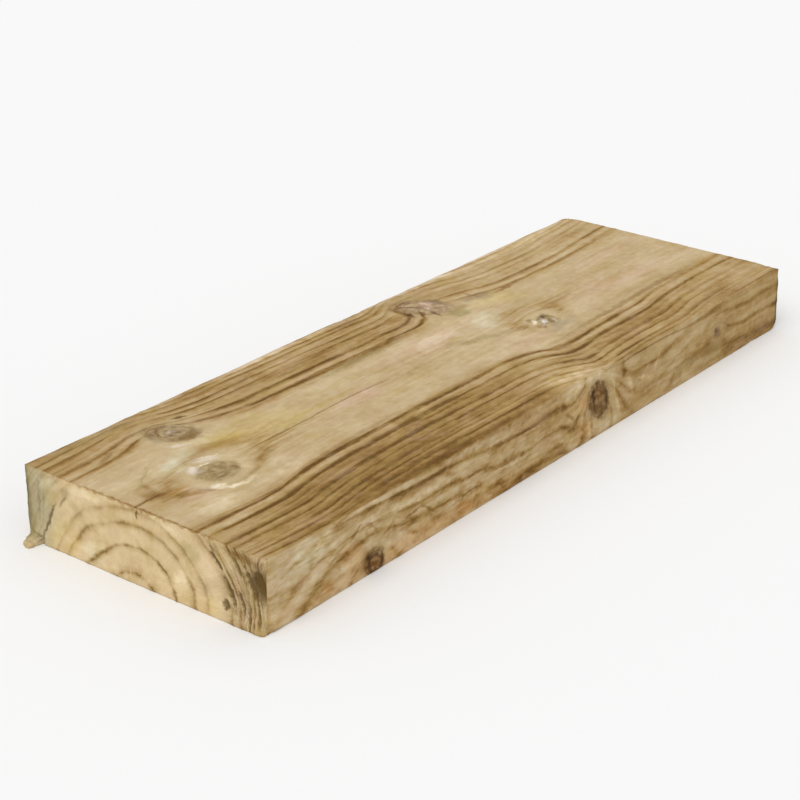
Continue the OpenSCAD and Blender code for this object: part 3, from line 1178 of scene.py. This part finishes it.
    def tear_out(self, block: bpy.types.Object) -> None:
        """Pull the broken out wedge from the foot of the near end, longest at its left.

        Args:
            block: The timber in edit mode.
        """
        foot, out = -self.length / 2, self.wear.breakout
        bpy.ops.mesh.select_mode(type="FACE")
        for step in range(out.steps):
            share = step / out.steps
            low_y, high_y = out.low_y + out.low_slant * share, out.high_y - out.high_slant * share
            high_z = out.high_z * (1 - 0.3 * share)
            front = foot - out.reach * share
            bpy.ops.mesh.select_all(action="DESELECT")
            skin = bmesh.from_edit_mesh(block.data)
            for face in skin.faces:
                x, y, z = (part / MM for part in face.calc_center_median())
                face.select = abs(x - front) < SLACK and low_y < y < high_y and z < high_z
            bmesh.update_edit_mesh(block.data)
            bpy.ops.mesh.extrude_region_move(
                TRANSFORM_OT_translate={"value": (-out.reach * MM / out.steps, 0, 0)}
            )
        bpy.ops.mesh.select_mode(type="VERT")
        bpy.ops.mesh.select_all(action="DESELECT")
        skin = bmesh.from_edit_mesh(block.data)
        for vert in skin.verts:
            vert.select = vert.co.x < (foot - 0.5) * MM
        bmesh.update_edit_mesh(block.data)
        bpy.ops.mesh.vertices_smooth(factor=0.5, repeat=4)

    def lay_out(self, block: bpy.types.Object) -> None:
        """Lay the skin out flat, side by side, in one UV map."""
        block.data.uv_layers.active.name = "OFBake"
        bpy.ops.mesh.select_all(action="SELECT")
        bpy.ops.uv.cube_project(cube_size=1.0, correct_aspect=False)
        bpy.ops.uv.pack_islands(rotate=True, margin=0.003)

    def worn_outline(self) -> NodeTree:
        """Group that rounds the four corners of one outline.

        Returns:
            A group from a place in the outline's plane to the place on its worn edge.
        """
        corners = ("Low low", "High low", "High high", "Low high")
        takes = {name: "value" for name in ("A", "B", "Half A", "Half B", "Wear") + corners}
        g = Pattern("Worn outline", TreeKind.SHAPE, takes, {"A": "value", "B": "value"})
        t = g.takes
        right, top = g.math("GREATER_THAN", t["A"], 0.0), g.math("GREATER_THAN", t["B"], 0.0)
        radius = g.mix(
            top,
            g.mix(right, t["Low low"], t["High low"]),
            g.mix(right, t["Low high"], t["High high"]),
        )
        radius = g.times(radius, t["Wear"])
        middle_a = g.less(t["Half A"], radius)
        middle_b = g.less(t["Half B"], radius)
        size_a, size_b = g.math("ABSOLUTE", t["A"]), g.math("ABSOLUTE", t["B"])
        past_a = g.math("MAXIMUM", g.less(size_a, middle_a), 0.0)
        past_b = g.math("MAXIMUM", g.less(size_b, middle_b), 0.0)
        far = g.math("MAXIMUM", g.vector("LENGTH", g.join(past_a, past_b, 0.0)), 0.0001)
        both = g.math("GREATER_THAN", g.times(past_a, past_b), 0.0)
        share = g.mix(both, 1.0, g.math("MINIMUM", g.math("DIVIDE", radius, far), 1.0))
        drop_a = g.times(past_a, g.less(1.0, share))
        drop_b = g.times(past_b, g.less(1.0, share))
        return g.give(
            A=g.times(g.math("SIGN", t["A"]), g.less(size_a, drop_a)),
            B=g.times(g.math("SIGN", t["B"]), g.less(size_b, drop_b)),
        )

    def worn_arrises(self) -> NodeTree:
        """Modifier tree that rounds every arris and corner to its own radius.

        Returns:
            The tree.
        """
        g = Pattern("Worn arrises", TreeKind.SHAPE, {"Timber": "shape"}, {"Timber": "shape"})
        outline = self.worn_outline()
        point = g.vector("SCALE", g.add("GeometryNodeInputPosition").outputs[0], scale=1 / MM)
        x, y, z = g.split(point)
        sticks_out = g.math("LESS_THAN", x, -self.length / 2 - SLACK)
        wear = g.noise(point, 0.045, 3.0, 0.6)
        wear = g.plus(g.remap(wear, 0.3, 0.7, 0.8, 1.2), g.remap(wear, 0.6, 0.72, 0.0, 0.8))
        for corner, amount in self.knocked_corners:
            reach = g.vector("LENGTH", g.vector("SUBTRACT", point, corner))
            wear = g.plus(wear, g.times(g.bell(reach, 14.0), amount))
        z = g.less(z, self.thickness / 2)
        half = (self.length / 2, self.width / 2, self.thickness / 2)
        names = ("Low_low", "High_low", "High_high", "Low_high")
        for first, second, radii in (
            (0, 1, self.plan_corners), (0, 2, self.elevation_corners), (1, 2, self.section_corners)
        ):
            parts = [x, y, z]
            node = g.place(
                outline, A=parts[first], B=parts[second], Half_A=half[first],
                Half_B=half[second], Wear=wear, **dict(zip(names, radii)),
            )
            parts[first], parts[second] = node.outputs
            x, y, z = parts
        worn = g.vector("SCALE", g.join(x, y, g.plus(z, self.thickness / 2)), scale=MM)
        move = g.add("GeometryNodeSetPosition")
        g.feed(move.inputs["Geometry"], g.takes["Timber"])
        g.feed(move.inputs["Selection"], g.less(1.0, sticks_out))
        g.feed(move.inputs["Position"], worn)
        return g.give(Timber=move.outputs[0])

    def relief(self) -> NodeTree:
        """Modifier tree that raises and sinks the skin where the wood does.

        Returns:
            The tree.
        """
        kind = TreeKind.SHAPE
        g = Pattern("Sawn relief", kind, {"Timber": "shape"}, {"Timber": "shape"})
        point = g.vector("SCALE", g.add("GeometryNodeInputPosition").outputs[0], scale=1 / MM)
        normal = g.add("GeometryNodeInputNormal").outputs[0]
        x, y, z = g.split(point)
        end_share = g.remap(g.math("ABSOLUTE", g.split(normal)[0]), 0.6, 0.9)
        face_share = g.less(1.0, end_share)
        grain = g.place(self.tree.grain(kind, self.tree.branch(kind)), Point=point)
        dark = g.place(self.tree.rings(kind), Ring=grain.outputs["Ring"]).outputs[0]
        fibre = grain.outputs["Fibre"]
        strand = g.cloud(fibre, (0.03, 0.5, 0.5), 3.0, 0.6)
        swell = g.cloud(point, (0.009, 0.018, 0.018), 2.0)
        wander = g.cloud(point, (0.03, 0.06, 0.06), 2.0)
        along = [g.scaled(dark, 0.34, -0.34), g.scaled(strand, 0.5, -0.3)]
        for knot in self.tree.knots:
            inside = grain.outputs[f"In {knot.name}"]
            along.append(g.remap(inside, -2.5, 2.0, 0.0, 0.5))
            along.append(g.times(g.bell(inside, 1.2), -0.8))
        check = g.place(self.wear.check_pattern(kind), Point=point).outputs[0]
        along.append(g.times(check, -1.3))
        kerf = g.vector("LENGTH", g.join(g.plus(y, 260.0), g.plus(z, 340.0), 0.0))
        kerf = g.noise(g.join(g.times(kerf, 0.55), g.times(y, 0.01), 0.0), 1.0, 2.0, 0.7)
        pores = g.cloud(point, (0.1, 0.45, 0.45), 2.0, 0.6)
        torn = g.place(self.wear.tear_pattern(kind, self.tree), Point=point).outputs[0]
        foot = g.times(g.remap(x, 10.0, -10.0), g.remap(y, 98.0, 88.0))
        across = [
            g.scaled(dark, 0.25, -0.25),
            g.scaled(kerf, 0.7, -0.4),
            g.sway(pores, 0.5),
            g.times(torn, -1.6),
            g.scaled(g.remap(z, 16.0, 0.0), g.times(foot, 3.5), 0.5),
        ]
        height = g.total(
            [
                g.times(g.total(along), face_share),
                g.times(g.total(across), end_share),
                g.scaled(swell, 1.2, -0.75),
                g.scaled(wander, 0.6, -0.35),
            ]
        )
        bed = g.remap(g.split(normal)[2], -0.5, -0.9)
        rim = g.math(
            "MINIMUM",
            g.less(self.length / 2, g.math("ABSOLUTE", x)),
            g.less(self.width / 2, g.math("ABSOLUTE", y)),
        )
        lifted = g.times(g.math("MINIMUM", g.times(height, 0.6), 0.0), g.remap(rim, 2.0, 14.0))
        height = g.mix(bed, height, lifted)
        moved = g.split(g.vector("ADD", point, g.vector("SCALE", normal, scale=height)))
        resting = g.join(moved[0], moved[1], g.math("MAXIMUM", moved[2], 0.0))
        move = g.add("GeometryNodeSetPosition")
        g.feed(move.inputs["Geometry"], g.takes["Timber"])
        g.feed(move.inputs["Position"], g.vector("SCALE", resting, scale=MM))
        return g.give(Timber=move.outputs[0])

    def shape(self, block: bpy.types.Object, name: str, tree: NodeTree) -> None:
        """Shape the timber with one modifier and apply it."""
        modifier = block.modifiers.new(name, "NODES")
        modifier.node_group = tree
        bpy.ops.object.modifier_apply(modifier=modifier.name)

    def build(self, finishes: Sequence[bpy.types.Material]) -> bpy.types.Object:
        """Build the timber's skin and dress it.

        Args:
            finishes: The material of the long faces, then of the ends.

        Returns:
            The timber.
        """
        block = self.blank()
        for material in finishes:
            block.data.materials.append(material)
        self.cells(block)
        self.coarsen_bed(block)
        self.tear_out(block)
        self.lay_out(block)
        bpy.ops.object.mode_set(mode="OBJECT")
        for face in block.data.polygons:
            outside = face.center.x < -(self.length / 2 + SLACK) * MM
            face.material_index = 1 if abs(face.normal.x) > 0.7 or outside else 0
        self.shape(block, "Worn arrises", self.worn_arrises())
        self.shape(block, "Sawn relief", self.relief())
        bpy.ops.object.shade_smooth()
        return block


# ------------------------------------------------------------------ the studio


@dataclass(frozen=True)
class Studio:
    """Plain pale floor, soft light and the camera. Lengths are in metres."""

    floor_size: float = 12.0
    camera_place: tuple[float, float, float] = (-1.0214, -0.7635, 0.5854)
    bearing: float = -51.786
    elevation: float = 24.104
    lens: float = 89.25
    sky_strength: float = 0.72
    key_strength: float = 0.42
    key_from: tuple[float, float, float] = (-0.6, -0.16, 0.8)

    def floor(self) -> None:
        """Lay the floor."""
        bpy.ops.object.select_all(action="DESELECT")
        bpy.ops.mesh.primitive_plane_add(size=self.floor_size, location=(0, 0, 0))
        floor = bpy.context.object
        floor.name = "studio_floor"
        material = bpy.data.materials.new("pale_floor")
        material.use_nodes = True
        shader = material.node_tree.nodes["Principled BSDF"]
        shader.inputs["Base Color"].default_value = (0.9, 0.9, 0.9, 1)
        shader.inputs["Roughness"].default_value = 0.9
        shader.inputs["Specular IOR Level"].default_value = 0.0
        floor.data.materials.append(material)

    def light(self) -> None:
        """Light the room softly, from all round and a little more from the near left."""
        world = bpy.data.worlds.new("soft_room")
        bpy.context.scene.world = world
        world.use_nodes = True
        sky = world.node_tree.nodes["Background"]
        sky.inputs["Color"].default_value = (1.0, 1.0, 1.0, 1)
        sky.inputs["Strength"].default_value = self.sky_strength
        lamp = bpy.data.lights.new("key_light", "SUN")
        lamp.angle, lamp.energy = math.radians(50), self.key_strength * math.pi
        light = bpy.data.objects.new("key_light", lamp)
        bpy.context.collection.objects.link(light)
        x, y, z = self.key_from
        light.rotation_euler = (math.atan2(math.hypot(x, y), z), 0, math.atan2(y, x) + math.pi / 2)
        bpy.context.scene.view_settings.view_transform = "Standard"

    def camera(self) -> None:
        """Set the camera up."""
        data = bpy.data.cameras.new("camera")
        data.lens, data.sensor_width = self.lens, 36.0
        camera = bpy.data.objects.new("camera", data)
        bpy.context.collection.objects.link(camera)
        camera.location = self.camera_place
        camera.rotation_euler = (math.radians(90 - self.elevation), 0, math.radians(self.bearing))
        bpy.context.scene.camera = camera


def main() -> None:
    """Build, dress and light the sleeper."""
    logging.basicConfig(level=logging.INFO, format="%(name)s: %(message)s")
    low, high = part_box("sleeper")
    length, width, thickness = ((b - a) / MM for a, b in zip(low, high))
    tree, wear = Tree(), Wear()
    finishes = Finishes(tree, wear)
    materials = (finishes.sawn(SawnFace()), finishes.crosscut(CrosscutFace()))
    block = Timber(length, width, thickness, tree, wear).build(materials)
    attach(block, "root")
    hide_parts("sleeper")
    LOG.info("%s: %d faces", block.name, len(block.data.polygons))
    studio = Studio()
    studio.floor()
    studio.light()
    studio.camera()


if __name__ == "__main__":
    main()
